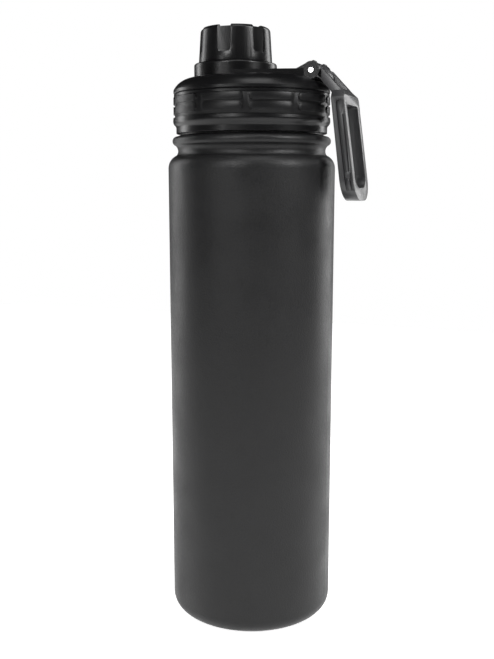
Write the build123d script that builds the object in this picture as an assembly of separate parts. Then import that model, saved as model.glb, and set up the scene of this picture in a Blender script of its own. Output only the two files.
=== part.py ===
from build123d import *
from math import acos, atan2, cos, hypot, radians, sin, tan
import os

# Insulated steel water bottle with a screw lid, an off-centre drinking spout under a fluted
# screw cap, and a hinged carry loop.  Millimetres.  The origin is the centre of the base on
# the bottle's axis, +Z is up and +X points to the carry loop.

# --- driving dimensions -------------------------------------------------------------------

# steel bottle
BODY_R = 36.5            # outside of the body tube
BASE_CORNER_R = 5.9
STEEL_T = 0.6            # wall of the outer tube and base
RECESS_Z = 1.8           # outside of the base's recess
DIMPLE_Z = 3.2           # outside of the dimple round the evacuation hole
SHOULDER_Z = 202.0       # where the body tube starts to turn in
SHOULDER_R = 6.0
NECK_ROOT_R = 30.2       # neck tube under the lid
NECK_STEP_R = 31.1       # the short plain step that shows below the lid
BEAD_R = 2.0             # rolled bead under the lid
BEAD_CENTRE = (32.6, 213.55)
RIM_Z = 230.4            # top of the drinking-mouth rim
RIM_H = 1.0
MOUTH_R = 28.4
LINER_R = 33.0           # outside of the inner vessel
LINER_T = 0.5            # wall of the inner vessel
LINER_CORNER_R = 5.0
LINER_BASE_Z = 8.0
GETTER_X = 15.5          # the getter pellet sits off centre, clear of the seal dimple

# lid
LID_Z = 216.7            # bottom lip of the collar
LIP_R = 32.85
SKIRT_R = 34.2
RIM_BULGE_R = 33.93
COLLAR_BORE_R = 31.55
LID_POCKET_R = 30.55     # seat of the lid liner inside the collar
DOME_TOP_Z = 240.6
DOME_UNDER_Z = 238.2     # underside of the dome on the axis
PLUG_FLOOR_Z = 226.0     # underside of the hollow plug
PLUG_WALL = 1.5
PLUG_R = MOUTH_R - 0.8
PLUG_FLANGE_Z = 232.3    # underside of the flange that presses on the neck gasket
BAND_Z = (223.3, 232.1)  # groove that holds the grip band
BAND_SEAT_R = 32.9
BAND_R = 33.4
BAR_R = 34.0             # raised grip bars
BAR_COUNT = 10
BAR_ANGLE = 31.0
BAR_ROWS = ((224.8, 227.9), (229.05, 231.9))

# spout and cap, on an axis that is off the bottle's
SPOUT_X = -7.6
BOSS_R = 18.0
BOSS_Z = 246.5
BOSS_WALL = 2.2
BOSS_DECK_T = 2.0
SPOUT_FLANGE_R = BOSS_R - 2.6
SPOUT_FLANGE_Z = (241.4, 243.4)
SPOUT_BORE_R = 10.4
SPOUT_R = 11.7
SPOUT_LIP_R = 0.5
SPOUT_RIM_Z = 256.8
CAP_Z = (246.8, 261.5)
CAP_R = (15.95, 15.0)    # bottom and top
CAP_EDGE_R = 1.9
CAP_LINER_R = 13.6
CAP_LINER_BORE_R = 12.85
FLUTES = 6
FLUTE_W = 6.2
FLUTE_FLOOR_R = 14.5
FLUTE_Z = 250.3
FLUTE_CORNER_R = 1.4
FLUTE_TURN = 4.0         # how far round the flutes stand when the cap is screwed down
CROWN_H = 0.9            # the lobes stand this much above the middle of the cap's top
CROWN_R = 12.1
CROWN_NOTCH_W = 5.6

# hinge and carry loop
PIN_X, PIN_Z = 29.65, 241.8
PIN_R = 1.15
PIN_BORE_R = 1.2
LUG_R = 3.6
LUG_Y = (5.5, 8.5)       # inner and outer face of each lug
STRAP_Z = (239.4, 242.6)
BARREL_R = 3.4
NECK_W = 17.0            # width of the loop's neck plate
LOOP_W = 23.0            # width across the two long arms
ARM_W = 3.3
LOOP_BOTTOM_Z = 188.4
LOOP_OPENING_Z = (193.7, 227.6)
LOOP_BEND_OUT = (44.65, 231.45)     # X and Z where the neck plate's front turns into the arms'
LOOP_FOOT_OUT = (50.6, LOOP_BOTTOM_Z)
CORING_W = 3.2           # sunk channel in the outer side of each arm
CORING_Z = (191.5, 229.5)
CORING_RIM = 0.5
CORING_DEPTH = 1.3
CORING_RIB_DROP = 0.4    # the ribs stop this far below the arm's side
CORING_RIBS = ((1.2, 200.7, 223.8), (2.4, 197.7, 200.4), (1.1, 192.8, 197.2))  # width, foot, top

# threads: pitch, ridge height over its wall, ridge width at the wall and at the crest
NECK_PITCH = 4.5
CAP_PITCH = 4.0
NECK_THREAD_H = 0.9
LID_THREAD_H = 0.95
CAP_THREAD_H = 0.8
RIDGE_W = (1.9, 0.9)
NECK_THREAD_TURNS = 1.5
CAP_THREAD_TURNS = 1.25  # short enough to stay under the cap's gasket
THREAD_PLAY = 0.5        # gap between the flanks that bear on each other when screwed down
# Each screwed piece's ridge starts one pitch up from the ridge that it pulls against, less the
# mean width of a ridge and the play, so that its flank lies under the other's.
RIDGE_MIDDLE = (RIDGE_W[0] + RIDGE_W[1]) / 2
NECK_THREAD_Z = 220.9
LID_THREAD_Z = NECK_THREAD_Z - RIDGE_MIDDLE - THREAD_PLAY + NECK_PITCH
SPOUT_THREAD_Z = 248.6
CAP_THREAD_Z = SPOUT_THREAD_Z - RIDGE_MIDDLE - THREAD_PLAY + CAP_PITCH

GAP = 0.05               # between pieces that are fixed to each other

spout_place = Pos(SPOUT_X, 0, 0)


# --- helpers ------------------------------------------------------------------------------

def turned(*edges):
    """Solid of revolution about Z of the closed outline that the edges make in X-Z."""
    return revolve(Plane.XZ * make_face(Wire(edges)), Axis.Z)


def turned_points(points):
    """Solid of revolution about Z of a polygon of (radius, height) points."""
    return revolve(Plane.XZ * make_face(Polyline(*points, close=True)), Axis.Z)


def pressed_sheet(edges, thickness):
    """Sheet metal of one thickness, turned about Z; the edges are its outer skin, from the base up."""
    section = Wire(edges).offset_2d(thickness, side=Side.LEFT, closed=True)
    return revolve(Plane.XZ * make_face(section), Axis.Z)


def ring(inner_r, outer_r, z_low, z_high):
    """Plain ring about Z."""
    return turned_points([(inner_r, z_low), (outer_r, z_low), (outer_r, z_high), (inner_r, z_high)])


def disc(radius, z_low, z_high):
    """Plain disc about Z."""
    return Pos(0, 0, (z_low + z_high) / 2) * Cylinder(radius, z_high - z_low)


def pin_cylinder(radius, y_low, y_high):
    """Cylinder on the hinge axis between two Y values."""
    return Pos(PIN_X, (y_low + y_high) / 2, PIN_Z) * Rot(90, 0, 0) * Cylinder(radius, y_high - y_low)


def thread_ridge(wall_r, height, pitch, turns, z_start, outwards):
    """Right-hand helical ridge that stands on a cylinder of radius wall_r."""
    side = 1 if outwards else -1
    root = -side * 0.15
    path = Helix(pitch=pitch, height=pitch * turns, radius=wall_r)
    half_root, half_crest = RIDGE_W[0] / 2, RIDGE_W[1] / 2
    outline = Polyline(
        (root, -half_root), (side * height, -half_crest), (side * height, half_crest), (root, half_root),
        close=True)
    start = Plane(origin=(wall_r, 0, 0), x_dir=(1, 0, 0), z_dir=(0, -1, 0))
    ridge = sweep(start * make_face(outline), path=path, is_frenet=True)
    return Pos(0, 0, z_start) * ridge


# --- steel bottle -------------------------------------------------------------------------

def make_outer_wall():
    """Drawn outer tube: base corner, shoulder, groove, rolled bead and threaded neck."""
    turn_in = radians(66.4)
    shoulder_end = (BODY_R - SHOULDER_R + SHOULDER_R * cos(turn_in), SHOULDER_Z + SHOULDER_R * sin(turn_in))
    bead_x, bead_z = BEAD_CENTRE
    bead_low, bead_high = radians(-68.5), radians(80.0)
    bead_start = (bead_x + BEAD_R * cos(bead_low), bead_z + BEAD_R * sin(bead_low))
    bead_end = (bead_x + BEAD_R * cos(bead_high), bead_z + BEAD_R * sin(bead_high))
    corner = BODY_R - BASE_CORNER_R
    neck_foot = bead_end[1] + 0.6
    wall = pressed_sheet([
        Line((corner - 1.2, 0), (corner, 0)),
        RadiusArc((corner, 0), (BODY_R, BASE_CORNER_R), -BASE_CORNER_R),
        Line((BODY_R, BASE_CORNER_R), (BODY_R, SHOULDER_Z)),
        RadiusArc((BODY_R, SHOULDER_Z), shoulder_end, -SHOULDER_R),
        ThreePointArc(shoulder_end, (32.22, 209.5), bead_start),
        ThreePointArc(bead_start, (bead_x + BEAD_R, bead_z), bead_end),
        Line(bead_end, (NECK_STEP_R, neck_foot)),
        Line((NECK_STEP_R, neck_foot), (NECK_STEP_R, neck_foot + 1.4)),
        Line((NECK_STEP_R, neck_foot + 1.4), (NECK_ROOT_R, neck_foot + 2.4)),
        Line((NECK_ROOT_R, neck_foot + 2.4), (NECK_ROOT_R, RIM_Z - RIM_H)),
    ], STEEL_T)
    return wall + thread_ridge(
        NECK_ROOT_R, NECK_THREAD_H, NECK_PITCH, NECK_THREAD_TURNS, NECK_THREAD_Z, True)


def make_inner_wall():
    """Inner vessel tube, drawn in to the mouth and rolled out over the top of the outer tube."""
    neck_r, draw_r, start_z = MOUTH_R + LINER_T, 5.0, 196.0
    # two equal arcs turn the tube in to the neck and straight again
    turn = acos(1 - (LINER_R - neck_r) / (2 * draw_r))
    middle = ((LINER_R + neck_r) / 2, start_z + draw_r * sin(turn))
    end_z = start_z + 2 * draw_r * sin(turn)
    tube = pressed_sheet([
        Line((LINER_R, LINER_BASE_Z + LINER_CORNER_R), (LINER_R, start_z)),
        RadiusArc((LINER_R, start_z), middle, -draw_r),
        RadiusArc(middle, (neck_r, end_z), draw_r),
        Line((neck_r, end_z), (neck_r, RIM_Z)),
    ], LINER_T)
    rim = ring(MOUTH_R, NECK_ROOT_R, RIM_Z - RIM_H, RIM_Z)
    rim = fillet(rim.edges().group_by(Axis.Z)[-1], 0.4)
    return tube + rim


def make_inner_base():
    """Dished bottom of the inner vessel, butt-welded to its tube."""
    flat_r = LINER_R - LINER_CORNER_R
    weld_z = LINER_BASE_Z + LINER_CORNER_R
    return pressed_sheet([
        Line((0, LINER_BASE_Z), (flat_r, LINER_BASE_Z)),
        RadiusArc((flat_r, LINER_BASE_Z), (LINER_R, weld_z), -LINER_CORNER_R),
    ], LINER_T)


def make_outer_base():
    """Stamped bottom with a recess for the cover and a dimple with the evacuation hole."""
    edge_r = BODY_R - BASE_CORNER_R - 1.2 - GAP
    return pressed_sheet([
        Line((1.0, DIMPLE_Z), (4.6, DIMPLE_Z)),
        Line((4.6, DIMPLE_Z), (6.0, RECESS_Z)),
        Line((6.0, RECESS_Z), (27.0, RECESS_Z)),
        Line((27.0, RECESS_Z), (28.0, 0)),
        Line((28.0, 0), (edge_r, 0)),
    ], STEEL_T)


def make_getter_clip():
    """Bent strip that holds the getter pellet on the outer base, inside the vacuum."""
    foot_z, top_z, strip = RECESS_Z + STEEL_T + GAP, 6.0, 0.4
    near, far, foot = GETTER_X - 5.5, GETTER_X + 5.5, 2.5
    outline = Polyline((near - foot, foot_z), (near, foot_z), (near, top_z),
                       (far, top_z), (far, foot_z), (far + foot, foot_z))
    section = Wire(outline.edges()).offset_2d(strip, side=Side.LEFT, closed=True)
    return extrude(Plane.XZ * make_face(section), 2.5, both=True)


# --- lid ----------------------------------------------------------------------------------

def make_collar():
    """Collar and dome of the lid, hollow underneath, with the groove for the grip band."""
    outside = [
        Line((COLLAR_BORE_R, LID_Z), (LIP_R - 0.3, LID_Z)),
        RadiusArc((LIP_R - 0.3, LID_Z), (LIP_R, LID_Z + 0.3), -0.3),
        Line((LIP_R, LID_Z + 0.3), (LIP_R, 219.0)),
        Spline((LIP_R, 219.0), (33.6, 220.35), (SKIRT_R, 222.1), tangents=((0, 1), (0, 1))),
        Line((SKIRT_R, 222.1), (34.1, BAND_Z[0])),
        Line((34.1, BAND_Z[0]), (BAND_SEAT_R, BAND_Z[0])),
        Line((BAND_SEAT_R, BAND_Z[0]), (BAND_SEAT_R, BAND_Z[1])),
        Line((BAND_SEAT_R, BAND_Z[1]), (33.75, BAND_Z[1])),
        Line((33.75, BAND_Z[1]), (33.75, 233.15)),
        Line((33.75, 233.15), (33.35, 233.4)),
        Line((33.35, 233.4), (RIM_BULGE_R, 233.8)),
        Line((RIM_BULGE_R, 233.8), (RIM_BULGE_R, 234.9)),
        ThreePointArc((RIM_BULGE_R, 234.9), (31.7, 237.75), (27.2, 239.75)),
        ThreePointArc((27.2, 239.75), (22.0, 240.45), (16.0, DOME_TOP_Z)),
        Line((16.0, DOME_TOP_Z), (0, DOME_TOP_Z)),
    ]
    inside = [
        Line((0, DOME_TOP_Z), (0, DOME_UNDER_Z)),
        Line((0, DOME_UNDER_Z), (26.0, DOME_UNDER_Z - 0.2)),
        Line((26.0, DOME_UNDER_Z - 0.2), (LID_POCKET_R, 235.0)),
        Line((LID_POCKET_R, 235.0), (LID_POCKET_R, 231.8)),
        Line((LID_POCKET_R, 231.8), (COLLAR_BORE_R, 231.4)),
        Line((COLLAR_BORE_R, 231.4), (COLLAR_BORE_R, LID_Z)),
    ]
    return turned(*outside, *inside)


def make_boss():
    """Round boss round the spout: an outer wall and a deck with the spout's hole."""
    wall = ring(BOSS_R - BOSS_WALL, BOSS_R, DOME_UNDER_Z - 0.1, BOSS_Z)
    deck = ring(SPOUT_R + 0.4, BOSS_R - BOSS_WALL + 0.2, BOSS_Z - BOSS_DECK_T, BOSS_Z)
    boss = wall + deck
    top_circles = boss.edges().filter_by(GeomType.CIRCLE).group_by(Axis.Z)[-1]
    return spout_place * fillet(top_circles.sort_by(SortBy.RADIUS)[-1], 0.9)


def make_strap():
    """Yoke that runs tangentially from the boss to the two hinge lugs."""
    lug_y = LUG_Y[1]
    end_x = PIN_X - 3.0
    reach = hypot(end_x - SPOUT_X, lug_y)
    tangent = atan2(lug_y, end_x - SPOUT_X) + acos(BOSS_R / reach)
    touch = (SPOUT_X + BOSS_R * cos(tangent), BOSS_R * sin(tangent))
    plan = Polyline(touch, (end_x, lug_y), (end_x, -lug_y), (touch[0], -touch[1]), close=True)
    strap = extrude(Pos(0, 0, STRAP_Z[0]) * make_face(plan), STRAP_Z[1] - STRAP_Z[0])
    lug = pin_cylinder(LUG_R, -lug_y, lug_y)
    ramp_plan = Polyline(
        (PIN_X - 6.6, STRAP_Z[0]), (PIN_X, STRAP_Z[0]), (PIN_X - 1.0, PIN_Z + 3.4),
        (PIN_X - 2.3, PIN_Z + 2.75), (PIN_X - 6.6, STRAP_Z[1]), close=True)
    ramp = extrude(Plane.XZ * make_face(ramp_plan), lug_y, both=True)
    nib_angle = radians(72)
    nib = Pos(PIN_X + 3.25 * cos(nib_angle), 0, PIN_Z + 3.25 * sin(nib_angle)) * Rot(90, 0, 0)
    return strap + lug + ramp + nib * Cylinder(0.75, 2 * lug_y)


def make_lid_shell():
    """One moulding: collar with its inside thread, dome, spout boss, strap and hinge lugs."""
    shell = make_collar() + make_boss() + make_strap()
    shell -= spout_place * disc(BOSS_R - BOSS_WALL, 232.0, BOSS_Z - BOSS_DECK_T)
    # room for the loop's barrel, and above the dome for the shoulders of its neck as it turns
    shell -= pin_cylinder(LUG_R + 0.4, -LUG_Y[0], LUG_Y[0])
    shell -= pin_cylinder(LUG_R + 1.5, -LUG_Y[0], LUG_Y[0]) & Pos(PIN_X, 0, STRAP_Z[0] + 5) * Box(20, 20, 10)
    shell -= Pos(PIN_X + 4, 0, PIN_Z) * Box(8, 2 * LUG_Y[0], 2 * LUG_R + 1.2)
    shell -= pin_cylinder(PIN_BORE_R, -LUG_Y[1] - 1, LUG_Y[1] + 1)
    return shell + thread_ridge(
        COLLAR_BORE_R, LID_THREAD_H, NECK_PITCH, NECK_THREAD_TURNS, LID_THREAD_Z, False)


def make_grip_band():
    """Soft band in the collar's groove with two rows of raised, round-ended bars."""
    band = ring(BAND_SEAT_R + GAP, BAND_R, BAND_Z[0] + GAP, BAND_Z[1] - GAP)
    for low, high in BAR_ROWS:
        height = high - low
        length = 2 * BAR_R * sin(radians(BAR_ANGLE / 2))
        bar_blank = extrude(Plane.YZ.offset(25) * SlotOverall(length, height), 15)
        bar = Pos(0, 0, (low + high) / 2) * bar_blank & ring(BAND_R - 0.2, BAR_R, low - 1, high + 1)
        for index in range(BAR_COUNT):
            band += Rot(0, 0, (index + 0.5) * 360 / BAR_COUNT) * bar
    return band


def make_lid_liner():
    """Hollow plug under the lid; its flange carries the neck gasket."""
    flange_r, flange_top, inside_r = LID_POCKET_R - GAP, PLUG_FLANGE_Z + 1.6, PLUG_R - PLUG_WALL
    floor_top = PLUG_FLOOR_Z + PLUG_WALL
    liner = turned_points([
        (0, PLUG_FLOOR_Z), (PLUG_R - 1.0, PLUG_FLOOR_Z), (PLUG_R, PLUG_FLOOR_Z + 1.0),
        (PLUG_R, PLUG_FLANGE_Z), (flange_r, PLUG_FLANGE_Z), (flange_r, flange_top),
        (inside_r, flange_top), (inside_r, floor_top), (0, floor_top)])
    return liner - spout_place * disc(SPOUT_R + GAP, PLUG_FLOOR_Z - 1, PLUG_FLANGE_Z)


def make_lid_foam():
    """Foam core between the liner and the dome."""
    foam = disc(PLUG_R - PLUG_WALL - 0.2, PLUG_FLOOR_Z + PLUG_WALL + 0.1, DOME_UNDER_Z - 0.3)
    return foam - spout_place * disc(SPOUT_R + 0.2, PLUG_FLOOR_Z, DOME_TOP_Z)


def make_spout():
    """Drinking spout with its outside thread and the flange that holds it under the boss."""
    flange_low, flange_high = SPOUT_FLANGE_Z
    tube = turned_points([
        (SPOUT_BORE_R, PLUG_FLOOR_Z), (SPOUT_R, PLUG_FLOOR_Z), (SPOUT_R, flange_low),
        (SPOUT_FLANGE_R, flange_low), (SPOUT_FLANGE_R, flange_high), (SPOUT_R, flange_high),
        (SPOUT_R, SPOUT_RIM_Z), (SPOUT_BORE_R, SPOUT_RIM_Z)])
    lip = tube.edges().filter_by(GeomType.CIRCLE).group_by(Axis.Z)[-1]
    tube = fillet(lip, SPOUT_LIP_R)
    ridge = thread_ridge(SPOUT_R, CAP_THREAD_H, CAP_PITCH, CAP_THREAD_TURNS, SPOUT_THREAD_Z, True)
    return spout_place * (tube + ridge)


# --- cap ----------------------------------------------------------------------------------

def make_cap_shell():
    """Tapered cap with six flat-floored grip flutes, and a sunk middle so that six lobes stand up."""
    low, high = CAP_Z
    cap = turned_points([(0, low), (CAP_R[0], low), (CAP_R[1], high), (0, high)])
    cap = fillet(cap.edges().filter_by(GeomType.CIRCLE).group_by(Axis.Z)[-1], CAP_EDGE_R)
    flute_h = high - FLUTE_Z + 5
    flute_face = Pos(0, FLUTE_Z + flute_h / 2) * RectangleRounded(FLUTE_W, flute_h, FLUTE_CORNER_R)
    flute = extrude(Plane.YZ.offset(FLUTE_FLOOR_R) * flute_face, 8)
    notch = Pos(CAP_R[0], 0, high) * Box(2 * (CAP_R[0] - CROWN_R + 1), CROWN_NOTCH_W, 2 * CROWN_H)
    cap -= disc(CROWN_R, high - CROWN_H, high + 1)
    for index in range(FLUTES):
        cap -= Rot(0, 0, FLUTE_TURN + (index + 0.5) * 360 / FLUTES) * (flute + notch)
    cap -= disc(CAP_LINER_R + GAP, low - 1, high - 1.8)
    return spout_place * cap


def make_cap_liner():
    """Threaded inner cup of the cap."""
    bore = CAP_LINER_BORE_R
    cup = turned_points([
        (bore, CAP_Z[0] + 0.5), (CAP_LINER_R, CAP_Z[0] + 0.5), (CAP_LINER_R, CAP_Z[1] - 1.85),
        (0, CAP_Z[1] - 1.85), (0, SPOUT_RIM_Z + 1.4), (bore, SPOUT_RIM_Z + 1.4)])
    ridge = thread_ridge(bore, CAP_THREAD_H, CAP_PITCH, CAP_THREAD_TURNS, CAP_THREAD_Z, False)
    return spout_place * (cup + ridge)


# --- carry loop ---------------------------------------------------------------------------

def arm_bar(width, low_z, high_z, y_low, y_high):
    """Round-ended bar on both arms, along the middle of the coring channel, between two Y values."""
    lean = atan2(LOOP_FOOT_OUT[0] - LOOP_BEND_OUT[0], LOOP_BEND_OUT[1] - LOOP_FOOT_OUT[1])
    middle_z = (low_z + high_z) / 2
    front_x = LOOP_BEND_OUT[0] + (LOOP_BEND_OUT[1] - middle_z) * tan(lean)
    centre_x = front_x - (CORING_RIM + CORING_W / 2) / cos(lean)
    face = Plane(origin=(centre_x, y_low, middle_z), x_dir=(sin(lean), 0, -cos(lean)), z_dir=(0, 1, 0))
    bar = extrude(face * SlotOverall((high_z - low_z) / cos(lean), width), y_high - y_low)
    return bar + mirror(bar, Plane.XZ)


def make_carry_loop():
    """Rigid loop: hinge barrel, 47 degree neck plate and two long arms joined at the bottom."""
    neck_top, neck_low = (34.2, 242.5), (34.2, 237.5)
    bend_out, bend_in = LOOP_BEND_OUT, (39.05, 232.35)
    foot_out, foot_in = LOOP_FOOT_OUT, (44.55, LOOP_BOTTOM_Z)
    side = Polyline(neck_top, bend_out, foot_out, foot_in, bend_in, neck_low, close=True)
    body = extrude(Plane.XZ * make_face(side), LOOP_W / 2, both=True)
    # seen from the front: a narrow neck that flares to the loop, round at the bottom
    half, neck_half, flare_low, flare_high = LOOP_W / 2, NECK_W / 2, 230.4, 233.4
    outline = make_face(Polyline(
        (half, LOOP_BOTTOM_Z), (half, flare_low), (neck_half, flare_high), (neck_half, 246.0),
        (-neck_half, 246.0), (-neck_half, flare_high), (-half, flare_low), (-half, LOOP_BOTTOM_Z),
        close=True))
    outline = fillet(outline.vertices().group_by(Axis.Y)[0], 9.0)
    body &= extrude(Plane.YZ * outline, 60)
    # the opening: nearly square at the top, round at the bottom
    gap, low, high = half - ARM_W, LOOP_OPENING_Z[0], LOOP_OPENING_Z[1]
    opening = make_face(Polyline((-gap, high), (gap, high), (gap, low), (-gap, low), close=True))
    opening = fillet(opening.vertices().group_by(Axis.Y)[0], 5.5)
    opening = fillet(opening.vertices().group_by(Axis.Y)[-1], 1.2)
    body -= extrude(Plane.YZ * opening, 60)
    # sunk panel in the neck plate, between two rims
    slope = Plane(origin=(neck_top[0], 0, neck_top[1]), x_dir=(0, 1, 0),
                  z_dir=(neck_top[1] - bend_out[1], 0, bend_out[0] - neck_top[0]))
    panel = Pos(0, -6.4) * RectangleRounded(NECK_W - 2 * ARM_W, 9.6, 0.8)
    body -= extrude(slope * panel, -2.0)
    # sunk channel in the outer side of each arm, with ribs left standing in it
    solid_arms, channel_floor = body, half - CORING_DEPTH
    body -= arm_bar(CORING_W, *CORING_Z, channel_floor, half + 1)
    for width, low_z, high_z in CORING_RIBS:
        body += arm_bar(width, low_z, high_z, channel_floor - 0.2, half - CORING_RIB_DROP) & solid_arms
    # hinge barrel between the lugs, with its web to the neck plate
    barrel_half = LUG_Y[0] - 0.35
    web_side = Polyline(
        (PIN_X + 1.7, PIN_Z + 3.1), neck_top, (36.0, 239.0), neck_low, (PIN_X + 0.5, PIN_Z - 0.6),
        close=True)
    body += pin_cylinder(BARREL_R, -barrel_half, barrel_half)
    body += extrude(Plane.XZ * make_face(web_side), barrel_half, both=True)
    return body - pin_cylinder(PIN_BORE_R, -20, 20)


# --- write one STEP per piece -------------------------------------------------------------

neck_gasket = fillet(ring(MOUTH_R - 0.3, NECK_ROOT_R + 0.1, RIM_Z + 0.2, 232.1).edges(), 0.4)
cap_gasket = spout_place * ring(SPOUT_BORE_R + 0.2, SPOUT_R + 0.7, SPOUT_RIM_Z + 0.2, SPOUT_RIM_Z + 1.2)
foil_r = LINER_R + 0.2
pieces = {
    "outer_wall": make_outer_wall(),
    "outer_base": make_outer_base(),
    "base_cover": disc(26.6, 0.9, RECESS_Z - GAP),
    "seal_bead": disc(2.2, 2.3, DIMPLE_Z - GAP),
    "getter": Pos(GETTER_X, 0, 4.2) * Cylinder(5.0, 3.2),
    "getter_clip": make_getter_clip(),
    "inner_wall": make_inner_wall(),
    "inner_base": make_inner_base(),
    "heat_shield_foil": ring(foil_r, foil_r + 0.2, 15, 195),
    "neck_gasket": neck_gasket,
    "lid_shell": make_lid_shell(),
    "grip_band": make_grip_band(),
    "lid_liner": make_lid_liner(),
    "lid_foam": make_lid_foam(),
    "spout": make_spout(),
    "spout_seal": spout_place * ring(
        SPOUT_R + 0.6, SPOUT_R + 2.8, SPOUT_FLANGE_Z[1] + GAP, BOSS_Z - BOSS_DECK_T - GAP),
    "hinge_pin": pin_cylinder(PIN_R, -LUG_Y[1] + 0.2, LUG_Y[1] - 0.2),
    "cap_gasket": cap_gasket,
    "cap_shell": make_cap_shell(),
    "cap_liner": make_cap_liner(),
    "carry_loop": make_carry_loop(),
}

os.makedirs("parts", exist_ok=True)
for name, shape in pieces.items():
    export_step(shape, f"parts/{name}.step")
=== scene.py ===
from math import cos, radians, sin

import bpy
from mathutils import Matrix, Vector


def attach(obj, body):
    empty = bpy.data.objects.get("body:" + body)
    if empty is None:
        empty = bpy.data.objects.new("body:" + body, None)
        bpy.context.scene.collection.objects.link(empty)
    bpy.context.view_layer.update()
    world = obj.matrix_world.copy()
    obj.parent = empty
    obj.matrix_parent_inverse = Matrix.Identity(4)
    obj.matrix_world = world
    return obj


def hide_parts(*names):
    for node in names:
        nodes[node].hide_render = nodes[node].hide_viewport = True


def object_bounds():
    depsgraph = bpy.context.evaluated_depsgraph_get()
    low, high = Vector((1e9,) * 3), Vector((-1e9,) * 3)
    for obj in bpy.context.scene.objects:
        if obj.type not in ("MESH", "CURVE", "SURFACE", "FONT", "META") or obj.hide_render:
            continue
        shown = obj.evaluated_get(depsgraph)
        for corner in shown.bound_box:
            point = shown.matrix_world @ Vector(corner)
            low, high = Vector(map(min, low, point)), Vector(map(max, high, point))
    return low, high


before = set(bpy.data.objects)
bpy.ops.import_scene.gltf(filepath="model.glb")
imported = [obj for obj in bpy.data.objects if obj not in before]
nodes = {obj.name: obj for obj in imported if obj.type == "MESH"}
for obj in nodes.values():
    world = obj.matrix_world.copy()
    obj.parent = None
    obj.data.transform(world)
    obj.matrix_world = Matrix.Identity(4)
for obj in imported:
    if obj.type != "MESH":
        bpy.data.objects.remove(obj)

cad_low, cad_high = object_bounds()
bpy.ops.object.select_all(action="DESELECT")

# --- camera -------------------------------------------------------------------------------
# Stands in front of the bottle and a little to the loop's side, just below the height of the
# shoulder, and looks slightly down, so that the lid is seen from a little below.

camera_data = bpy.data.cameras.new("camera")
camera_data.sensor_fit = "VERTICAL"
camera_data.sensor_height = 36
camera_data.lens = 48.54
camera = bpy.data.objects.new("camera", camera_data)
camera.location = (0.1495, -0.3685, 0.19745)
looking = Vector((-0.3754, 0.9117, -0.1670))
camera.rotation_mode = "QUATERNION"
camera.rotation_quaternion = looking.to_track_quat("-Z", "Y")
bpy.context.scene.collection.objects.link(camera)
bpy.context.scene.camera = camera

# --- studio -------------------------------------------------------------------------------
# A white table and surround. Two tall soft boxes stand high in front, one each side of the
# camera, and two low ones behind, whose light grazes the bottle's left and right edges. A wide one
# overhead shapes the tops, and the polished end of the hinge pin reflects a small card in front.

FLOOR_SIZE = 1.6         # metres; short, so that its far part doesn't darken behind the bottle
FLOOR_GLOW = 0.82
SURROUND_FILL = 0.015    # what lights the bottle, where the camera itself sees plain white

bpy.context.scene.view_settings.view_transform = "Standard"
bpy.ops.mesh.primitive_plane_add(size=FLOOR_SIZE, location=(0, 0, cad_low.z))
floor = bpy.context.active_object
floor.name = "floor"
floor_material = bpy.data.materials.new("floor")
floor_material.use_nodes = True
floor_shader = floor_material.node_tree.nodes["Principled BSDF"]
floor_shader.inputs["Base Color"].default_value = (0.90, 0.90, 0.90, 1)
floor_shader.inputs["Roughness"].default_value = 1.0
floor_shader.inputs["Specular IOR Level"].default_value = 0.0
floor_shader.inputs["Emission Color"].default_value = (1, 1, 1, 1)
floor_shader.inputs["Emission Strength"].default_value = FLOOR_GLOW
floor.data.materials.append(floor_material)

world = bpy.data.worlds.new("surround")
world.use_nodes = True
sky = world.node_tree
backdrop = sky.nodes["Background"]
backdrop.inputs["Color"].default_value = (1, 1, 1, 1)
fill = sky.nodes.new("ShaderNodeBackground")
fill.inputs["Strength"].default_value = SURROUND_FILL
path = sky.nodes.new("ShaderNodeLightPath")
seen = sky.nodes.new("ShaderNodeMixShader")
sky.links.new(path.outputs["Is Camera Ray"], seen.inputs[0])
sky.links.new(fill.outputs[0], seen.inputs[1])
sky.links.new(backdrop.outputs[0], seen.inputs[2])
sky.links.new(seen.outputs[0], sky.nodes["World Output"].inputs["Surface"])
bpy.context.scene.world = world


def soft_box(name, azimuth, height, distance, size, power, aim_z=0.16):
    """A rectangular soft light at an angle round the bottle, counted from straight in front."""
    light = bpy.data.lights.new(name, "AREA")
    light.shape = "RECTANGLE"
    light.size, light.size_y = size
    light.energy = power
    lamp = bpy.data.objects.new(name, light)
    turn = radians(azimuth)
    lamp.location = (distance * sin(turn), -distance * cos(turn), height)
    aim = Vector((0, 0, aim_z)) - lamp.location
    lamp.rotation_mode = "QUATERNION"
    lamp.rotation_quaternion = aim.to_track_quat("-Z", "Y")
    bpy.context.scene.collection.objects.link(lamp)


soft_box("front_left", -6, 0.66, 0.75, (0.14, 0.5), 4.2)
soft_box("front_right", 78, 0.66, 0.75, (0.18, 0.5), 6.0)
soft_box("rim_left", -100, 0.22, 0.9, (0.22, 0.9), 3.6)
soft_box("rim_right", 150, 0.32, 0.9, (0.28, 0.9), 4.4)
soft_box("overhead", 40, 1.15, 0.3, (0.5, 0.5), 2.6)
soft_box("pin_card", -22, 0.34, 0.9, (0.12, 0.1), 0.5, aim_z=0.24)

# --- powder-coated steel: the outer tube and the base's cover plate -------------------------
# Drawn stainless tube, sprayed and baked in a matte black powder whose grain is about two
# thirds of a millimetre, with mottling of its gloss.


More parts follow.
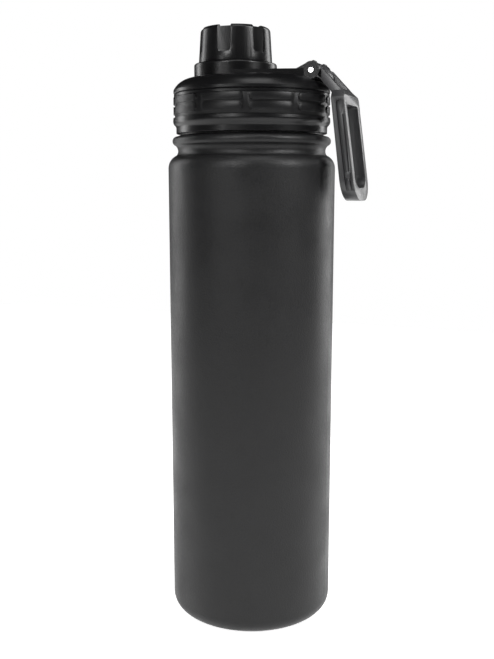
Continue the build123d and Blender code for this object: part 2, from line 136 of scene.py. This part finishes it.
class Signal:
    """An output of a shader node; arithmetic on it adds Math nodes to the same material."""

    def __init__(self, socket):
        self.socket = socket
        self.tree = socket.id_data

    @staticmethod
    def node(tree, kind, settings=None, sockets=None, output=0):
        """Adds a node: its settings first, then the values or links of its sockets."""
        made = tree.nodes.new(kind)
        for name, value in (settings or {}).items():
            setattr(made, name, value)
        for key, value in (sockets or {}).items():
            if isinstance(value, Signal):
                tree.links.new(value.socket, made.inputs[key])
            else:
                made.inputs[key].default_value = value
        return Signal(made.outputs[output])

    def _math(self, operation, first, second):
        return Signal.node(self.tree, "ShaderNodeMath", {"operation": operation}, {0: first, 1: second})

    def __add__(self, other):
        return self._math("ADD", self, other)

    def __sub__(self, other):
        return self._math("SUBTRACT", self, other)

    def __rsub__(self, other):
        return self._math("SUBTRACT", other, self)

    def __mul__(self, other):
        return self._math("MULTIPLY", self, other)

    __radd__ = __add__
    __rmul__ = __mul__


def noise(place, scale, detail=3.0, stretch=(1, 1, 1)):
    """Noise with a middle of about 0.5; scale is in spots to a metre."""
    turned = Signal.node(place.tree, "ShaderNodeMapping", sockets={"Vector": place, "Scale": stretch})
    return Signal.node(
        place.tree, "ShaderNodeTexNoise", sockets={"Vector": turned, "Scale": scale, "Detail": detail})


def finish_material(name, colour, lighter, roughness, grain, fixed=None):
    """A material with mottled colour and gloss and a fine grain.

    roughness is (middle, spread); grain is (spots to a metre, depth in metres, stretch)."""
    material = bpy.data.materials.new(name)
    material.use_nodes = True
    tree = material.node_tree
    shader = tree.nodes["Principled BSDF"]
    for socket, value in (fixed or {}).items():
        shader.inputs[socket].default_value = value
    place = Signal.node(tree, "ShaderNodeTexCoord", output="Object")
    spots, depth, stretch = grain
    fine = noise(place, spots, 3.0, stretch)
    broad = noise(place, 60.0, 2.0)
    shade = Signal.node(
        tree, "ShaderNodeMix", {"data_type": "RGBA"},
        {0: fine * 0.7 + broad * 0.3, 6: (*colour, 1), 7: (*lighter, 1)}, output=2)
    middle, spread = roughness
    gloss = (fine + broad - 1.0) * spread + middle
    relief = Signal.node(
        tree, "ShaderNodeBump", sockets={"Strength": 1.0, "Distance": depth, "Height": fine})
    tree.links.new(shade.socket, shader.inputs["Base Color"])
    tree.links.new(gloss.socket, shader.inputs["Roughness"])
    tree.links.new(relief.socket, shader.inputs["Normal"])
    return material


def coat(material, *names):
    """Gives CAD nodes a material in place of the plain one they come with."""
    for name in names:
        data = nodes[name].data
        data.materials.clear()
        data.materials.append(material)


MERGE_DISTANCE = 0.000002
FLAT_ANGLE, SHARP_ANGLE, SMOOTH_ANGLE = radians(0.5), radians(28), radians(32)


def moulded_copy(node, name, material, soften, segments=2):
    """A piece that stands for a CAD node: the same solid, merged, with a bevel on its sharp edges.

    The bevel is clamped where points crowd, which leaves it only a few micrometres wide on these
    pieces, far less than soften asks for. Their edges are all but sharp."""
    bpy.ops.object.select_all(action="DESELECT")
    piece = bpy.data.objects.new(name, nodes[node].data.copy())
    bpy.context.scene.collection.objects.link(piece)
    piece.select_set(True)
    bpy.context.view_layer.objects.active = piece
    bpy.ops.mesh.customdata_custom_splitnormals_clear()
    bpy.ops.object.mode_set(mode="EDIT")
    bpy.ops.mesh.select_all(action="SELECT")
    bpy.ops.mesh.remove_doubles(threshold=MERGE_DISTANCE)
    bpy.ops.mesh.dissolve_limited(angle_limit=FLAT_ANGLE)
    bpy.ops.object.mode_set(mode="OBJECT")
    edges = piece.modifiers.new("edges", "BEVEL")
    edges.width, edges.segments = soften, segments
    edges.limit_method, edges.angle_limit = "ANGLE", SHARP_ANGLE
    bpy.ops.object.modifier_apply(modifier=edges.name)
    bpy.ops.object.shade_smooth_by_angle(angle=SMOOTH_ANGLE)
    piece.data.materials.clear()
    piece.data.materials.append(material)
    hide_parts(node)
    return piece


EVEN = (1, 1, 1)
powder_coat = finish_material(
    "powder_coat", (0.002, 0.002, 0.0022), (0.011, 0.011, 0.0115), (0.45, 0.30), (1500, 0.0001, EVEN),
    {"Specular IOR Level": 0.30})
coat(powder_coat, "outer_wall", "base_cover")

# --- bare stainless steel: the base, the inner vessel and the clip --------------------------
# Pressed and drawn 18/8 sheet, left as brushed. The inner vessel's brushing runs round it.

brushed_steel = finish_material(
    "brushed_steel", (0.50, 0.50, 0.51), (0.68, 0.68, 0.69), (0.30, 0.20),
    (900, 0.000004, (1, 1, 9)), {"Metallic": 1.0})
coat(brushed_steel, "outer_base", "inner_wall", "inner_base", "getter_clip")

# --- inside the vacuum: foil, getter pellet and glass bead ----------------------------------
# Crinkled reflective foil round the inner vessel, a pellet of pressed metal powder under the
# clip, and a bead of glass solder that closes the hole in the base.

foil = finish_material(
    "foil", (0.78, 0.79, 0.80), (0.90, 0.91, 0.92), (0.22, 0.12), (260, 0.00012, EVEN), {"Metallic": 1.0})
coat(foil, "heat_shield_foil")
getter_metal = finish_material(
    "getter_metal", (0.12, 0.12, 0.125), (0.26, 0.26, 0.27), (0.70, 0.15), (3000, 0.00005, EVEN),
    {"Metallic": 1.0})
coat(getter_metal, "getter")
seal_glass = finish_material(
    "seal_glass", (0.34, 0.40, 0.36), (0.48, 0.54, 0.50), (0.12, 0.06), (700, 0.00001, EVEN))
coat(seal_glass, "seal_bead")

# --- lid moulding -----------------------------------------------------------------------------
# Injection-moulded black polypropylene with a satin, spark-eroded skin.

lid_plastic = finish_material(
    "lid_plastic", (0.002, 0.002, 0.0022), (0.006, 0.006, 0.0065), (0.30, 0.10), (3200, 0.000018, EVEN),
    {"Specular IOR Level": 0.30})
coat(lid_plastic, "lid_shell")

# --- liner, spout and inner cup ---------------------------------------------------------------
# Food-safe black polypropylene from polished tools, smoother than the outside mouldings.

liner_plastic = finish_material(
    "liner_plastic", (0.014, 0.014, 0.015), (0.026, 0.026, 0.027), (0.28, 0.08), (1800, 0.000006, EVEN))
coat(liner_plastic, "lid_liner", "spout", "cap_liner")

# --- foam core and seals ------------------------------------------------------------------------
# Closed-cell foam fills the plug. The three rings are dark silicone with a soft sheen.

foam = finish_material(
    "foam", (0.66, 0.63, 0.56), (0.86, 0.84, 0.78), (0.90, 0.08), (1400, 0.0003, EVEN))
coat(foam, "lid_foam")
silicone = finish_material(
    "silicone", (0.05, 0.05, 0.05), (0.09, 0.09, 0.09), (0.55, 0.10), (1500, 0.00001, EVEN),
    {"Sheen Weight": 0.15})
coat(silicone, "neck_gasket", "cap_gasket", "spout_seal")

# --- cap ----------------------------------------------------------------------------------------
# Moulded in the same plastic as the lid. The edges of its six grip flutes are all but sharp.

cap = moulded_copy("cap_shell", "cap_moulding", lid_plastic, soften=0.00035, segments=3)
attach(cap, "cap")

# --- grip band ------------------------------------------------------------------------------------
# Soft black band moulded into the collar's groove, a little duller than the lid.

soft_grip = finish_material(
    "soft_grip", (0.002, 0.002, 0.0022), (0.006, 0.006, 0.0065), (0.38, 0.12), (2800, 0.00002, EVEN),
    {"Specular IOR Level": 0.28})
band = moulded_copy("grip_band", "grip_band_moulding", soft_grip, soften=0.00018)
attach(band, "lid")

# --- hinge pin ------------------------------------------------------------------------------------
# Ground stainless pin with polished ends.

pin_steel = finish_material(
    "pin_steel", (0.78, 0.78, 0.78), (0.88, 0.88, 0.88), (0.16, 0.08), (1600, 0.000002, EVEN),
    {"Metallic": 1.0})
coat(pin_steel, "hinge_pin")

# --- carry loop -----------------------------------------------------------------------------------
# Rigid moulded nylon loop, satin, a shade lighter than the lid.

loop_plastic = finish_material(
    "loop_plastic", (0.018, 0.018, 0.019), (0.036, 0.036, 0.038), (0.36, 0.12), (3000, 0.000015, EVEN))

loop = moulded_copy("carry_loop", "carry_loop_moulding", loop_plastic, soften=0.00018)
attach(loop, "loop")
